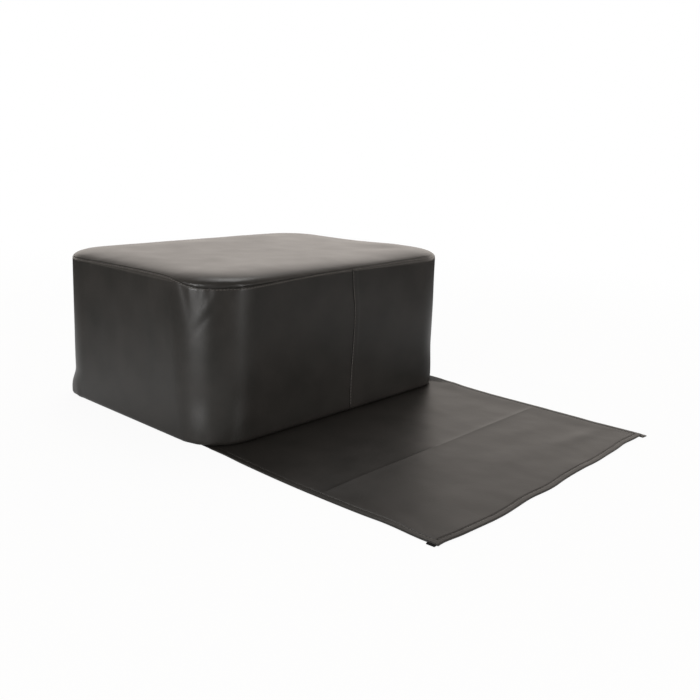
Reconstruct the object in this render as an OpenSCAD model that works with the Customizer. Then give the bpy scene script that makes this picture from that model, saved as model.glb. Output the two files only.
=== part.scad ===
// Child booster cushion for a barber chair, with a flap that protects the chair.
// Millimetres. X runs along the width, the front and its flap face -Y, and Z is up.
// The origin is the middle of the box's underside, on the surface that it stands on.

/* [Box] */
// Width of the box, from side to side
body_w = 390; // [300:1:480]
// Depth of the box, from front to back
body_d = 290; // [240:1:360]
// Height of the box at the middle of its crown
body_h = 170; // [120:1:240]
// Radius of the upright corners above the base
corner_r = 60; // [40:1:80]
// Radius of the squarer corners at the base, where the board pushes the leather out
base_corner_r = 50; // [38:1:60]
// Height at which the corners have drawn in to the foam
flare_h = 34; // [24:1:50]
// How far each side draws in between its corners, at half height
side_draw = 1.5; // [0:0.1:4]

/* [Top] */
// Drop from the middle of the crown to the seam round the top panel
seam_drop = 6; // [5:0.5:14]
// Rise of the crown inside the rolled edge
crown_rise = 1; // [0.5:0.1:3]
// Width of the rolled edge of the top panel
roll_w = 14; // [10:1:30]

/* [Leather] */
// Thickness of the leather
leather_t = 1; // [0.8:0.1:1.4]
// Width of the band's edge that is turned under the board
return_w = 28; // [27:1:34]
// Place of the front and back seams to the right of the middle
band_seam_x = 8; // [-40:1:40]
// Thickness of the sewing thread
thread_t = 0.6; // [0.4:0.1:0.8]
// Distance from a seam to its line of stitching
seam_stitch = 2; // [1:0.5:4]

/* [Foam and board] */
// Thickness of the soft foam slab under the top panel
topper_t = 34; // [24:1:50]
// Thickness of the plywood board
board_t = 9; // [7:1:15]
// Radius of the board's lower edge, which the leather turns round
board_round = 4.5; // [3:0.5:5.5]

/* [Underside] */
// Thickness of the non-woven cloth under the box
dust_t = 0.6; // [0.4:0.1:0.8]
// Distance from the box's edge to the edge of that cloth
dust_inset = 14; // [11:1:15]
// Width of a staple's crown
staple_w = 10; // [8:0.5:12]
// Thickness of a staple's wire
staple_wire = 0.6; // [0.5:0.1:0.8]
// How far a staple's legs go into the board
staple_bite = 5; // [3:0.5:6]
// Greatest distance between staples
staple_pitch = 40; // [30:1:60]

/* [Flap] */
// Distance from the side of the box to the side of the flap
flap_margin = 7.5; // [5:0.5:30]
// Length of the flap from the front of the box
flap_len = 270; // [200:1:340]
// Place of the flap to the right of the middle
flap_shift = 3.5; // [-5:0.5:5]
// Distance from the middle of the flap's length to the crease, away from the box
crease_shift = 3.5; // [-20:0.5:20]
// Width of the turned hems
hem_w = 10; // [8:0.5:14]
// Distance from the flap's edge to the hem's stitching
hem_stitch = 6; // [4:0.5:7]
// Depth of the flap's strip under the box
root_d = 40; // [38:1:60]
// Length of the hem ends that stick out at the flap's outer corners
tab_out = 3.5; // [2:0.5:6]
// Width of those hem ends
tab_w = 8; // [5:0.5:9]

/* [Hidden] */
$fn = 48;

// Facets in a quarter turn of an upright corner, and stretches along half a front and along a side
corner_steps = 7;
front_steps = 3;
side_steps = 4;
// Facets in the turn under the board, the flare above it, the side, the rolled edge and the crown
base_steps = 3;
flare_steps = 3;
upper_steps = 3;
roll_steps = 5;
crown_steps = 3;
// Fullness of the rolled edge: 2 is an ellipse and more is squarer
roll_fullness = 2.8;
// Least corner radius of an outline that is far inside the box
least_r = 6;
// Share of the lesser half width at which the crown is flat
crown_share = 0.88;

// Clearances: leather round the board and the foam, thread on leather, cloth beside the flap's strip
board_gap = 0.5;
foam_gap = 0.1;
thread_gap = 0.1;
dust_gap = 0.3;
// Clearance of the flap where it turns up or down at the box, and at its crease
turn_gap = 0.1;
root_gap = 0.15;
front_gap = 0.7;
crease_gap = 0.3;

// Heights from the floor up: leather turned under, board, foam core, foam topper and seam
return_z = leather_t;
board_z = return_z + leather_t;
core_z = board_z + board_t;
topper_z = body_h - leather_t - foam_gap - topper_t;
seam_z = body_h - seam_drop;
roll_h = seam_drop - crown_rise;
base_roll_r = board_round + leather_t - board_gap;
crown_inset = min(body_w, body_d) / 2 * crown_share;

// Lines of staples, from the box's edge inwards
edge_bite = 4;
staple_step = 5;
dust_line = dust_inset + edge_bite;
cover_line = dust_line + staple_step;
flap_line = (return_w + root_d) / 2;

// The front of the box, the flap's hinge line and the ends of its halves
front_y = -body_d / 2;
hinge_y = front_y - leather_t * 3 / 2 - thread_t / 2 - front_gap;
root_end_y = hinge_y + root_gap;
inner_start_y = hinge_y - leather_t / 2 - turn_gap;
crease_y = front_y - flap_len / 2 - crease_shift;
inner_end_y = crease_y + crease_gap / 2;
outer_start_y = crease_y - crease_gap / 2;
outer_end_y = front_y - flap_len;
flap_left = -body_w / 2 + flap_margin + flap_shift;
flap_right = body_w / 2 - flap_margin + flap_shift;
flap_w = flap_right - flap_left;

leather_colour = [0.16, 0.155, 0.15];
thread_colour = [0.3, 0.29, 0.28];
foam_colour = [0.85, 0.83, 0.76];
wood_colour = [0.78, 0.64, 0.45];
cloth_colour = [0.08, 0.08, 0.085];
steel_colour = [0.72, 0.73, 0.75];

// Share of the way from low to high, kept between nothing and all
function way(v, low, high) = min(1, max(0, (v - low) / (high - low)));

// Corner radius of the cover at height z: the board's at the base, the foam's above the flare
function radius_at(z) =
    let (t = way(z, core_z, flare_h))
    base_corner_r + (corner_r - base_corner_r) * t * t * (3 - 2 * t);

// How far a side is drawn in at height z: nothing at the board and at the seam
function draw_at(z) =
    let (t = way(z, core_z, seam_z))
    side_draw * 4 * t * (1 - t);

// Share of the draw at u, from -1 at one corner to 1 at the next
function bow(u) = 1 - u * u;

// Half of the cover's outline at height z, moved in by inset: from the front seam at seam_x, round
// the right side, to the back seam
function half_outline(z, inset, seam_x) =
    let (r = max(radius_at(z) - inset, least_r))
    let (hw = body_w / 2 - inset, hd = body_d / 2 - inset, sx = hw - r, sy = hd - r, d = draw_at(z))
    concat(
        [for (i = [0 : front_steps - 1])
            let (x = seam_x + (sx - seam_x) * i / front_steps) [x, d * bow(x / sx) - hd, z]],
        [for (i = [0 : corner_steps])
            let (a = 90 * i / corner_steps) [sx + r * sin(a), -sy - r * cos(a), z]],
        [for (i = [1 : side_steps - 1])
            let (y = sy * (2 * i / side_steps - 1)) [hw - d * bow(y / sy), y, z]],
        [for (i = [0 : corner_steps])
            let (a = 90 * i / corner_steps) [sx + r * cos(a), sy + r * sin(a), z]],
        [for (i = [1 : front_steps])
            let (x = sx + (seam_x - sx) * i / front_steps) [x, hd - d * bow(x / sx), z]]
    );

// The whole outline, anticlockwise from above. Its first point is on the front seam.
function outline(z, inset) =
    let (right = half_outline(z, inset, band_seam_x), left = half_outline(z, inset, -band_seam_x))
    concat(right, [for (i = [len(left) - 2 : -1 : 1]) [-left[i].x, left[i].y, z]]);

// Levels of the cover, each an inset and a height, c below the leather's face.
// First the band's raw edge under the board and the turn round the board's lower edge.
function turn_levels(c) = concat(
    [[return_w, return_z + c]],
    [for (i = [0 : base_steps])
        let (a = 90 * i / base_steps, r = base_roll_r - c)
        [base_roll_r - r * sin(a), return_z + base_roll_r - r * cos(a)]]
);

// Heights of the foam core's levels: the flare, then the side up to the topper
core_heights = concat(
    [for (i = [0 : flare_steps]) core_z + (flare_h - core_z) * i / flare_steps],
    [for (i = [1 : upper_steps]) flare_h + (topper_z - flare_h) * i / upper_steps]
);

// The band's upright side, up to the seam
function side_levels(c) = [for (z = concat(core_heights, [seam_z])) [c, z]];

// The top panel: its rolled edge, a quarter of a full ellipse, and then its crown
function top_levels(c) = concat(
    [for (i = [0 : roll_steps])
        let (a = 90 * i / roll_steps, out = pow(cos(a), 2 / roll_fullness), up = pow(sin(a), 2 / roll_fullness))
        [c + (roll_w - c) * (1 - out), seam_z + (roll_h - c) * up]],
    [for (i = [1 : crown_steps])
        let (u = i / crown_steps)
        [roll_w + (crown_inset - roll_w) * u, seam_z + roll_h - c + crown_rise * bow(1 - u)]]
);

// Outlines of a list of levels
function rings(levels) = [for (l = levels) outline(l[1], l[0])];

// The list from its end to its start
function back_to_front(list) = [for (i = [len(list) - 1 : -1 : 0]) list[i]];

// The two triangles of a four-sided face, whose corners run clockwise from outside
function quad(a, b, c, d) = [[a, b, c], [a, c, d]];

// Solid through closed level rings of points round the Z axis, capped at its first and its last ring
module loft(rings) {
    n = len(rings[0]);
    last = len(rings) - 1;
    low_mid = (last + 1) * n;
    high_mid = low_mid + 1;
    mids = [for (r = [rings[0], rings[last]]) [0, 0, r[0].z]];
    sides = [for (k = [0 : last - 1], j = [0 : n - 1])
        let (next = (j + 1) % n)
        each quad(k * n + j, (k + 1) * n + j, (k + 1) * n + next, k * n + next)];
    low_cap = [for (j = [0 : n - 1]) [j, (j + 1) % n, low_mid]];
    high_cap = [for (j = [0 : n - 1]) [last * n + (j + 1) % n, last * n + j, high_mid]];
    polyhedron(concat([for (r = rings) each r], mids), concat(sides, low_cap, high_cap));
}

// Sheet between an outer and an inner face. Each face is a list of rows of points, lowest first, and
// a row runs anticlockwise round the box. A closed sheet joins the end of each row to its start.
module sheet(outer, inner, closed) {
    rows = len(outer);
    n = len(outer[0]);
    under = rows * n;
    top = rows - 1;
    runs = [for (j = [0 : closed ? n - 1 : n - 2]) [j, (j + 1) % n]];
    out_face = [for (k = [0 : top - 1], s = runs)
        each quad(k * n + s[0], (k + 1) * n + s[0], (k + 1) * n + s[1], k * n + s[1])];
    in_face = [for (k = [0 : top - 1], s = runs)
        each quad(under + k * n + s[0], under + k * n + s[1],
                  under + (k + 1) * n + s[1], under + (k + 1) * n + s[0])];
    low_edge = [for (s = runs) each quad(s[0], s[1], under + s[1], under + s[0])];
    high_edge = [for (s = runs)
        each quad(top * n + s[0], under + top * n + s[0], under + top * n + s[1], top * n + s[1])];
    start = [for (k = [0 : top - 1])
        each quad(k * n, under + k * n, under + (k + 1) * n, (k + 1) * n)];
    end = [for (k = [0 : top - 1])
        each quad(k * n + n - 1, (k + 1) * n + n - 1, under + (k + 1) * n + n - 1, under + k * n + n - 1)];
    faces = concat(out_face, in_face, low_edge, high_edge, closed ? [] : concat(start, end));
    polyhedron([for (r = concat(outer, inner)) each r], faces);
}

// One half of the side band: the part of each ring that from and to name, out of a whole turn
module band_half(from, to) {
    outer = rings(concat(turn_levels(0), side_levels(0)));
    inner = rings(concat(turn_levels(leather_t), side_levels(leather_t)));
    n = len(outer[0]);
    picks = [for (j = [n * from : n * to]) j % n];
    sheet([for (r = outer) [for (j = picks) r[j]]], [for (r = inner) [for (j = picks) r[j]]], false);
}

// Stitching of an upright seam at the front: a thread that follows the drawn-in side
module upright_thread() {
    x = band_seam_x + seam_stitch;
    heights = concat([return_z + base_roll_r], core_heights, [seam_z - 2 * seam_stitch - thread_t]);
    outer_y = [for (z = heights) front_y - thread_gap - thread_t + draw_at(z)];
    ends = [x - thread_t / 2, x + thread_t / 2];
    sheet([for (k = [0 : len(heights) - 1]) [for (e = ends) [e, outer_y[k], heights[k]]]],
          [for (k = [0 : len(heights) - 1]) [for (e = ends) [e, outer_y[k] + thread_t, heights[k]]]],
          false);
}

// Section of the board from inside it to its edge, with the rounded lower edge
module board_section(reach) {
    translate([0, board_round]) square([reach, board_t - board_round]);
    square([reach - board_round, board_t]);
    intersection() {
        translate([reach - board_round, board_round]) circle(board_round);
        square([reach, board_round]);
    }
}

// Rounded rectangle w wide and d deep, centred, with true arcs
module rounded_plan(w, d, r) {
    square([w - 2 * r, d], center = true);
    square([w, d - 2 * r], center = true);
    for (x = [-1, 1], y = [-1, 1]) translate([x * (w / 2 - r), y * (d / 2 - r)]) circle(r);
}

// One staple: its crown lies on the XY plane along X, and its legs point up
module staple(leg) {
    rotate([90, 0, 0])
        linear_extrude(staple_wire, center = true)
            difference() {
                translate([-staple_w / 2, 0]) square([staple_w, leg]);
                translate([-staple_w / 2 + staple_wire, staple_wire])
                    square([staple_w - 2 * staple_wire, leg]);
            }
}

// Evenly spaced staples along a straight line of length l, centred, with crowns at height z
module staple_row(l, z) {
    count = ceil(l / staple_pitch);
    for (i = [0 : count - 1])
        translate([l * ((i + 1 / 2) / count - 1 / 2), 0, z]) staple(board_z + staple_bite - z);
}

// Rows of staples along the back and both sides, at inset from the box's edge
module staple_rows(inset, z) {
    translate([0, body_d / 2 - inset, 0]) staple_row(body_w - 2 * base_corner_r, z);
    for (s = [-1, 1])
        translate([s * (body_w / 2 - inset), 0, 0])
            rotate(90) staple_row(body_d - 2 * base_corner_r, z);
}

// Section of a turned hem: two layers of leather, folded at the outer edge, which is at 0
module hem_section() {
    translate([leather_t, leather_t]) circle(leather_t);
    translate([leather_t, 0]) square([hem_w - leather_t, 2 * leather_t]);
}

// Hem along one side of the flap, from start down to end
module side_hem(start, end, right) {
    translate([right ? flap_right : flap_left, start, 0])
        mirror([right ? 1 : 0, 0, 0])
            rotate([90, 0, 0]) linear_extrude(start - end) hem_section();
}

// A half of the flap, with its two side hems
module flap_half(start, end) {
    translate([flap_left + leather_t, end, 0])
        cube([flap_w - 2 * leather_t, start - end, leather_t]);
    side_hem(start, end, false);
    side_hem(start, end, true);
}

// Line of stitching along Y or X on top of a hem, given by its low corner and its lengths
module hem_thread(x, y, l, d) {
    translate([x, y, 2 * leather_t]) cube([l, d, thread_t / 2]);
}

// Stitching along both side hems, from start down to end
module side_threads(start, end) {
    for (x = [flap_left + hem_stitch, flap_right - hem_stitch])
        hem_thread(x - thread_t / 2, end, thread_t, start - end);
}

// Plywood board under the foam, with a rounded lower edge
module base_board() {
    reach = base_corner_r - leather_t - board_gap;
    sx = body_w / 2 - base_corner_r;
    sy = body_d / 2 - base_corner_r;
    color(wood_colour)
        translate([0, 0, board_z]) {
            translate([-sx, -sy, 0]) cube([2 * sx, 2 * sy, board_t]);
            for (turn = [0, 1]) rotate(180 * turn) {
                translate([sx, sy, 0]) rotate_extrude(angle = 90) board_section(reach);
                translate([-sx, sy, 0]) rotate(90) rotate_extrude(angle = 90) board_section(reach);
                translate([-sx, sy, 0])
                    rotate([90, 0, 90]) linear_extrude(2 * sx) board_section(reach);
                translate([sx, sy, 0]) rotate([90, 0, 0]) linear_extrude(2 * sy) board_section(reach);
            }
        }
}

// Firm foam block, from the board up to the topper
module foam_core() {
    inset = leather_t + foam_gap;
    color(foam_colour) loft(rings([for (z = core_heights) [inset, z]]));
}

// Soft foam slab that fills the crown and its rolled edge
module foam_topper() {
    inset = leather_t + foam_gap;
    color(foam_colour) loft(rings(concat([[inset, topper_z]], top_levels(inset))));
}

// Leather top panel with its rolled edge and crown
module cover_top() {
    color(leather_colour)
        loft(concat(back_to_front(rings(top_levels(leather_t))), rings(top_levels(0))));
}

// Left half of the leather band, turned under the board
module cover_band_left() {
    color(leather_colour) band_half(1 / 2, 1);
}

// Right half of the leather band
module cover_band_right() {
    color(leather_colour) band_half(0, 1 / 2);
}

// Stitching that runs round the box just under the top panel
module top_seam_thread() {
    heights = [seam_z - seam_stitch - thread_t, seam_z - seam_stitch];
    color(thread_colour)
        sheet(rings([for (z = heights) [-thread_gap - thread_t, z]]),
              rings([for (z = heights) [-thread_gap, z]]), true);
}

// Stitching of the front seam
module front_seam_thread() {
    color(thread_colour) upright_thread();
}

// Stitching of the back seam
module back_seam_thread() {
    color(thread_colour) mirror([0, 1, 0]) upright_thread();
}

// Staples that hold the band's turned edge to the board, one of them at each corner
module cover_staples() {
    color(steel_colour) {
        staple_rows(cover_line, dust_t);
        translate([0, front_y + cover_line, 0]) staple_row(body_w - 2 * base_corner_r, dust_t);
        for (x = [-1, 1], y = [-1, 1])
            translate([x * (body_w / 2 - base_corner_r), y * (body_d / 2 - base_corner_r), dust_t])
                rotate(-45 * x * y)
                    translate([0, y * (base_corner_r - cover_line), 0]) staple(board_z + staple_bite - dust_t);
    }
}

// Non-woven cloth that closes the underside behind the flap's strip
module dust_cover() {
    color(cloth_colour)
        linear_extrude(dust_t)
            intersection() {
                rounded_plan(body_w - 2 * dust_inset, body_d - 2 * dust_inset, base_corner_r - dust_inset);
                translate([-body_w / 2, front_y + root_d + dust_gap]) square([body_w, body_d]);
            }
}

// Staples round the edge of the cloth
module dust_cover_staples() {
    color(steel_colour) {
        staple_rows(dust_line, 0);
        translate([0, front_y + root_d + dust_gap + edge_bite, 0])
            staple_row(body_w - 2 * base_corner_r, 0);
    }
}

// Strip of the flap that lies under the box
module flap_root() {
    color(leather_colour)
        translate([flap_left, root_end_y, 0])
            cube([flap_w, front_y + root_d - root_end_y, leather_t]);
}

// Staples that hold the strip to the board
module flap_staples() {
    color(steel_colour)
        translate([flap_shift, front_y + flap_line, 0]) staple_row(body_w - 2 * base_corner_r, 0);
}

// Half of the flap beside the box
module flap_inner() {
    color(leather_colour) flap_half(inner_start_y, inner_end_y);
}

// Stitching of the inner half's side hems
module flap_inner_thread() {
    color(thread_colour) side_threads(inner_start_y - hem_w / 2, inner_end_y);
}

// Half of the flap past the crease, with its end hem and the hem ends that stick out at its corners
module flap_outer() {
    color(leather_colour) {
        flap_half(outer_start_y, outer_end_y + hem_w / 2);
        translate([flap_left, outer_end_y, 0])
            rotate([90, 0, 90]) linear_extrude(flap_w) hem_section();
        translate([flap_left - tab_out, outer_end_y + tab_out, 0])
            cube([tab_out + hem_w / 2, tab_w, leather_t]);
        translate([flap_right - tab_w, outer_end_y - tab_out, 0])
            cube([tab_w, tab_out + hem_w / 2, leather_t]);
    }
}

// Stitching of the outer half's hems
module flap_outer_thread() {
    end = outer_end_y + hem_stitch;
    color(thread_colour) {
        side_threads(outer_start_y, end);
        hem_thread(flap_left + hem_stitch, end - thread_t / 2, flap_w - 2 * hem_stitch, thread_t);
    }
}

base_board();
foam_core();
foam_topper();
cover_top();
cover_band_left();
cover_band_right();
top_seam_thread();
front_seam_thread();
back_seam_thread();
cover_staples();
dust_cover();
dust_cover_staples();
flap_root();
flap_staples();
flap_inner();
flap_inner_thread();
flap_outer();
flap_outer_thread();
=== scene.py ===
"""Child booster cushion for a barber chair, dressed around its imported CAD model.

Blender works in metres, in the CAD's frame: X runs along the width, the front and its flap face -Y,
and Z is up. Shapes are worked out in millimetres and turned to metres by one factor.
"""

import math

import bmesh
import bpy
import numpy as np
from mathutils import Matrix, Vector, noise
from mathutils.bvhtree import BVHTree


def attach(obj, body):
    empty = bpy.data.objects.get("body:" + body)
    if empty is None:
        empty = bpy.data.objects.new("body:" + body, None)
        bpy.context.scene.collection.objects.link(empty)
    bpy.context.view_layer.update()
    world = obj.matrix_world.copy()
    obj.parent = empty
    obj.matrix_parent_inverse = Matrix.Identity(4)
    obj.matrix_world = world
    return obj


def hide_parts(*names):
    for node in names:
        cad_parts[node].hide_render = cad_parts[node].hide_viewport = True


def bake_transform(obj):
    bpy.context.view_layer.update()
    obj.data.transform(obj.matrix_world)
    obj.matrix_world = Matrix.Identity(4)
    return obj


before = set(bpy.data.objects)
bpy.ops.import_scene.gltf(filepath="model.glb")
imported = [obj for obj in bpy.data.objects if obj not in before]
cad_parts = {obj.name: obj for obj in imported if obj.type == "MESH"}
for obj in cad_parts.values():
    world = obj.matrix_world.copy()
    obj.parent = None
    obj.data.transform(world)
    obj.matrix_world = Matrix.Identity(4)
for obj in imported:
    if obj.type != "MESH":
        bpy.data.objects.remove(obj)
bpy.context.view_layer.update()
MM = 0.001

# Sizes of the CAD model, in millimetres
BODY_W, BODY_D = 390.0, 290.0
CORNER_R, BASE_CORNER_R = 60.0, 50.0
FLAT_W, FLAT_D = BODY_W / 2 - CORNER_R, BODY_D / 2 - CORNER_R
CORE_Z, FLARE_H, SEAM_Z = 11.0, 34.0, 164.0
TOPPER_Z = 134.9
SIDE_DRAW = 1.5
ROLL_W, ROLL_H, ROLL_FULLNESS = 14.0, 5.0, 2.8
RETURN_W, RETURN_Z, BASE_ROLL_R = 28.0, 1.0, 5.0
# The leather's thickness in the CAD, and here a little less, so that it clears what it touches
LEATHER_T, COVER_T, FLAP_T = 1.0, 0.9, 0.94
BAND_SEAM_X = 8.0
DUST_INSET, DUST_START_Y = 14.0, -104.7
FLAP_LEFT, FLAP_RIGHT = -184.0, 191.0
FLAP_ROOT_Y, FLAP_END_Y = -105.0, -415.0
HINGE_Y, CREASE_Y = -147.5, -283.5
HEM_W, HEM_STITCH = 10.0, 6.0
TAB_OUT, TAB_W = 3.5, 8.0


# Small helpers

def only(obj):
    """Selects one object and makes it active."""
    bpy.ops.object.select_all(action="DESELECT")
    obj.select_set(True)
    bpy.context.view_layer.objects.active = obj


def added(operator, **settings):
    """Runs an operator that adds one mesh and returns the new object."""
    bpy.ops.object.select_all(action="DESELECT")
    operator(**settings)
    return bpy.context.object


def in_edit(obj, operator, kind="VERT", chosen=None, fresh=True, **settings):
    """Runs one operator in edit mode, on the whole mesh or on the chosen parts of one kind. If it
    isn't fresh, the faces that the last operator left selected stay so."""
    only(obj)
    bpy.ops.object.mode_set(mode="EDIT")
    bpy.ops.mesh.select_mode(type=kind)
    if fresh:
        bpy.ops.mesh.select_all(action="SELECT" if chosen is None else "DESELECT")
    if chosen is not None:
        bpy.ops.object.mode_set(mode="OBJECT")
        parts = {"VERT": obj.data.vertices, "EDGE": obj.data.edges, "FACE": obj.data.polygons}[kind]
        parts.foreach_set("select", chosen)
        bpy.ops.object.mode_set(mode="EDIT")
    operator(**settings)
    bpy.ops.object.mode_set(mode="OBJECT")


def box(centre, size, turn=0.0):
    """A cube at its place and size in millimetres, turned about the upright axis by some degrees."""
    cube = added(bpy.ops.mesh.primitive_cube_add, size=1, location=tuple(c * MM for c in centre),
                 rotation=(0, 0, math.radians(turn)), scale=tuple(s * MM for s in size))
    bpy.ops.object.transform_apply(location=True, rotation=True, scale=True)
    return cube


def read(data, name, width=3):
    """One property of all vertices or attribute values, as rows."""
    out = np.empty(len(data) * width)
    data.foreach_get(name, out)
    return out.reshape(-1, width)


def points(obj):
    """The object's vertices in millimetres."""
    return read(obj.data.vertices, "co") / MM


def set_points(obj, co):
    obj.data.vertices.foreach_set("co", (np.asarray(co) * MM).ravel())
    obj.data.update()


def finish_modifier(obj, kind, **settings):
    """Adds one modifier, sets it and applies it."""
    only(obj)
    mod = obj.modifiers.new(kind.lower(), kind)
    for key, value in settings.items():
        setattr(mod, key, value)
    bpy.ops.object.modifier_apply(modifier=mod.name)


def named(obj, name, body, slot, *materials, sharp=None):
    """Gives a finished piece its name, finish, body and smooth shading, up to a sharp angle."""
    only(obj)
    if sharp is None:
        bpy.ops.object.shade_smooth()
    else:
        bpy.ops.object.shade_smooth_by_angle(angle=math.radians(sharp))
    obj.name = obj.data.name = name
    for material in materials[len(obj.data.materials):]:
        obj.data.materials.append(material)
    if body:
        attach(obj, body)


def way(v, low, high):
    """Share of the way from low to high, eased at both ends."""
    t = np.clip((np.asarray(v, float) - low) / (high - low), 0, 1)
    return t * t * (3 - 2 * t)


def bump(v, middle, width):
    """A bell of height one round the middle."""
    return np.exp(-((np.asarray(v, float) - middle) / width) ** 2)


def hills(v, bells):
    """Sum of bells, each with its own height, middle and width."""
    return sum(height * bump(v, middle, width) for height, middle, width in bells)


def rough(co, period, stretch=(1, 1, 1), seed=0.0):
    """Smooth noise from -1 to 1 whose hills are about one period apart, in millimetres."""
    s = np.asarray(co) / period / np.asarray(stretch, float) + seed
    return np.array([noise.noise(Vector(p)) for p in s])


def graded(length, count, first, growth):
    """Distances from 0 to length in count steps that grow from the first up to one widest step."""
    def steps(widest):
        return np.minimum(first * growth ** np.arange(count), widest)
    low, high = first, length
    for _ in range(60):
        mid = (low + high) / 2
        low, high = (mid, high) if steps(mid).sum() < length else (low, mid)
    out = np.concatenate([[0], np.cumsum(steps(high))])
    return out * length / out[-1]


# Materials

def tone(hex_colour):
    """Linear colour of an sRGB hex value."""
    parts = [int(hex_colour[i:i + 2], 16) / 255 for i in (1, 3, 5)]
    return tuple(c / 12.92 if c <= 0.04045 else ((c + 0.055) / 1.055) ** 2.4 for c in parts) + (1.0,)


def add(tree, kind, inputs=None, out=0, **settings):
    """Adds a node and returns one of its outputs. Inputs are sockets to link or plain values, and
    settings are its own properties or, by name, more of its inputs."""
    node = tree.nodes.new("ShaderNode" + kind)
    for key, value in settings.items():
        if hasattr(node, key):
            setattr(node, key, value)
        else:
            node.inputs[key.replace("_", " ")].default_value = value
    for key, value in (inputs or {}).items():
        if isinstance(value, bpy.types.NodeSocket):
            tree.links.new(value, node.inputs[key])
        else:
            node.inputs[key].default_value = value
    return node.outputs[out]


def ramp(tree, source, *stops):
    """Colour ramp with its own stops, each a place and a hex colour."""
    colour = add(tree, "ValToRGB", {0: source})
    elements = colour.node.color_ramp.elements
    while len(elements) < len(stops):
        elements.new(0.5)
    for element, (place, hex_colour) in zip(elements, stops):
        element.position = place
        element.color = tone(hex_colour)
    return colour


def spread(tree, source, low, high, ends=(0.0, 1.0), **settings):
    """Turns a value between two ends into one from low to high."""
    inputs = {0: source, 1: ends[0], 2: ends[1], 3: low, 4: high}
    return add(tree, "MapRange", inputs, **settings)


class Finish:
    """A material with its shader. Its patterns run over the object's own coordinates."""

    def __init__(self, name, **settings):
        self.material = bpy.data.materials.new(name)
        self.material.use_nodes = True
        self.tree = self.material.node_tree
        self.tree.nodes.clear()
        self.place = add(self.tree, "TexCoord", out="Object")
        self.shader = add(self.tree, "BsdfPrincipled", **settings)
        self.surface = self.tree.nodes.new("ShaderNodeOutputMaterial").inputs["Surface"]
        self.tree.links.new(self.shader, self.surface)

    def pattern(self, kind, size, out=0, **settings):
        """A texture whose features are about one size across, in millimetres."""
        return add(self.tree, kind, {"Vector": self.place}, out, Scale=1 / (size * MM), **settings)

    def feed(self, name, source):
        """Links a socket to one of the shader's inputs."""
        self.tree.links.new(source, self.shader.node.inputs[name])

    def colour(self, source, *stops):
        self.feed("Base Color", ramp(self.tree, source, *stops))

    def roughness(self, source, low, high):
        self.feed("Roughness", spread(self.tree, source, low, high))

    def relief(self, *layers):
        """Bumps, each a height, strength and depth in millimetres, laid one over the other."""
        inputs = {}
        for height, strength, depth in layers:
            inputs["Height"] = height
            inputs["Normal"] = add(self.tree, "Bump", inputs, Strength=strength, Distance=depth * MM)
        self.feed("Normal", inputs["Normal"])


LEATHER_GRAIN = 1.3


def leathercloth(name, gloss, crinkle):
    """PU leathercloth: polyurethane cast on a grained paper. A tight pebble grain that only just
    breaks up the gloss, a soft sheen at low angles and faint cloudy changes of polish."""
    look = Finish(name, IOR=1.36)
    pebbles = look.pattern("TexVoronoi", LEATHER_GRAIN, feature="SMOOTH_F1", Smoothness=0.6)
    pores = look.pattern("TexNoise", 0.45 * LEATHER_GRAIN, Detail=2.0)
    clouds = look.pattern("TexNoise", 38, Detail=3.0, Roughness=0.55)
    creases = look.pattern("TexNoise", 7, Detail=4.0, Distortion=0.6)
    look.colour(clouds, (0.3, "#201F1D"), (0.7, "#282624"))
    look.roughness(clouds, *gloss)
    look.relief((pores, 0.1, 0.03), (pebbles, 0.3, 0.06), (creases, crinkle, 0.1))
    return look.material


def knitted_backing():
    """Black polyester knit on the back of the leathercloth: matt, with fine ribs of loops."""
    look = Finish("knitted_polyester_backing", Roughness=0.95, Specular_IOR_Level=0.2)
    ribs = look.pattern("TexWave", 5.5, "Fac", wave_type="BANDS", Distortion=1.2, Detail=2.0)
    lint = look.pattern("TexNoise", 0.6, Detail=3.0)
    look.colour(lint, (0.3, "#0B0B0B"), (0.75, "#1C1B1B"))
    look.relief((ribs, 0.4, 0.15), (lint, 0.4, 0.1))
    return look.material


def sewing_thread(name, dark, light):
    """Bonded polyester thread: two plies twisted tightly, slightly waxed and a little lighter than
    the leathercloth, so each stitch catches the light."""
    look = Finish(name, Roughness=0.55)
    plies = look.pattern("TexNoise", 0.5, Detail=2.0)
    look.colour(plies, (0.35, dark), (0.65, light))
    look.relief((plies, 0.4, 0.1))
    return look.material


def foam(name, light, dark, cell):
    """Flexible polyurethane foam, cut with a band knife: open cells, matt and slightly yellowed."""
    look = Finish(name, Roughness=0.92)
    cells = look.pattern("TexVoronoi", cell)
    look.colour(cells, (0.1, dark), (0.5, light))
    look.relief((cells, 0.6, 0.4))
    return look.material


def plywood():
    """Birch plywood, sawn: long grain on the faces and five plies at the edges."""
    ply_t, edge_share, stretch = 1.8 * MM, 0.6, (12, 140, 900)
    look = Finish("birch_plywood", Roughness=0.68)
    along = add(look.tree, "Mapping", {"Vector": look.place, "Scale": stretch})
    grain = add(look.tree, "TexNoise", {"Vector": along}, Scale=1.0, Detail=5.0, Distortion=0.4)
    wood = ramp(look.tree, grain, (0.3, "#B58D5E"), (0.55, "#CDAA7A"), (0.75, "#DBBE90"))
    height = add(look.tree, "SeparateXYZ", {0: look.place}, out=2)
    plies = add(look.tree, "Math", {0: height, 1: ply_t}, operation="PINGPONG")
    share = add(look.tree, "Math", {0: plies, 1: 1 / ply_t}, operation="MULTIPLY")
    layers = ramp(look.tree, share, (0.42, "#FFFFFF"), (0.58, "#A88460"))
    look.feed("Base Color", add(look.tree, "Mix", {0: edge_share, 6: wood, 7: layers}, out=2,
                                data_type="RGBA", blend_type="MULTIPLY"))
    look.relief((grain, 0.3, 0.2))
    return look.material


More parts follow.
